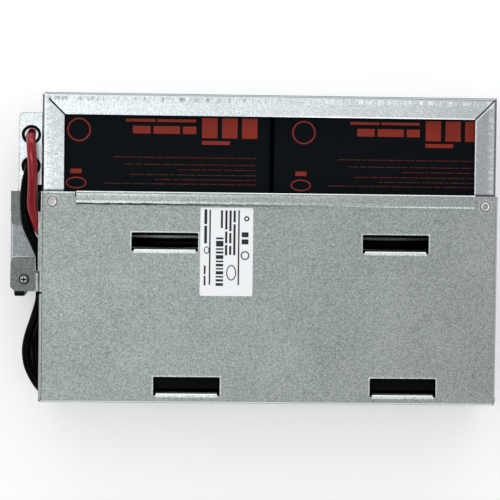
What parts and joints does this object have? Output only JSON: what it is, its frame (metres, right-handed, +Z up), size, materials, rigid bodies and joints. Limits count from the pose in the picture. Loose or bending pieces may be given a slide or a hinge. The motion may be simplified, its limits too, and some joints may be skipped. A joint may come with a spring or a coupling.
{
  "type": "ups battery cartridge",
  "caption": "Rack UPS battery cartridge: sealed lead-acid batteries in a folded galvanised tray with a riveted cover, side leads and a plug.",
  "frame": {"origin": "centre of the tray's flat underside", "axes": "+X towards the right wall, away from the plug; +Y towards the back wall, away from the cover's front wall; +Z up out of the tray"},
  "size_m": [0.3333, 0.2103, 0.0792],
  "materials": {
    "galvanised_sheet": "hot-dip galvanised sheet, fine spangle, satin",
    "zinc_fastener": "bright zinc plating",
    "battery_case": "moulded black ABS, fine texture",
    "battery_lid": "moulded black ABS, smoother than the case",
    "blade": "tin-plated brass, dull",
    "housing": "moulded black polycarbonate",
    "contact": "silver-plated copper alloy",
    "red_wire": "soft PVC, half gloss",
    "black_wire": "soft PVC, half gloss",
    "red_sleeve": "moulded PVC sleeve",
    "black_sleeve": "moulded PVC sleeve",
    "grommet": "black snap grommet",
    "label": "white polyester film"
  },
  "bodies": {
    "root": {"tray": "galvanised_sheet", "cover": "galvanised_sheet", "connector_bracket": "galvanised_sheet", "cover_rivets": "zinc_fastener", "bracket_screw": "zinc_fastener", "bracket_rivet": "zinc_fastener", "bracket_nut": "zinc_fastener", "connector_screws": "zinc_fastener", "connector_housing": "housing", "connector_contacts": "contact", "grommet_back": "grommet", "grommet_front": "grommet", "rating_label": "label", "positive_lead": "red_wire", "negative_lead": "black_wire", "row_jumper": "black_wire", "back_jumper": "black_wire", "front_jumper": "black_wire", "positive_sleeves": "red_sleeve", "negative_sleeves": "black_sleeve", "battery_case_1": "battery_case", "battery_lid_1": "battery_lid", "vent_strip_1": "battery_lid", "battery_blades_1": "blade", "battery_case_2": "battery_case", "battery_lid_2": "battery_lid", "vent_strip_2": "battery_lid", "battery_blades_2": "blade", "battery_case_3": "battery_case", "battery_lid_3": "battery_lid", "vent_strip_3": "battery_lid", "battery_blades_3": "blade", "battery_case_4": "battery_case", "battery_lid_4": "battery_lid", "vent_strip_4": "battery_lid", "battery_blades_4": "blade"}
  },
  "joints": []
}
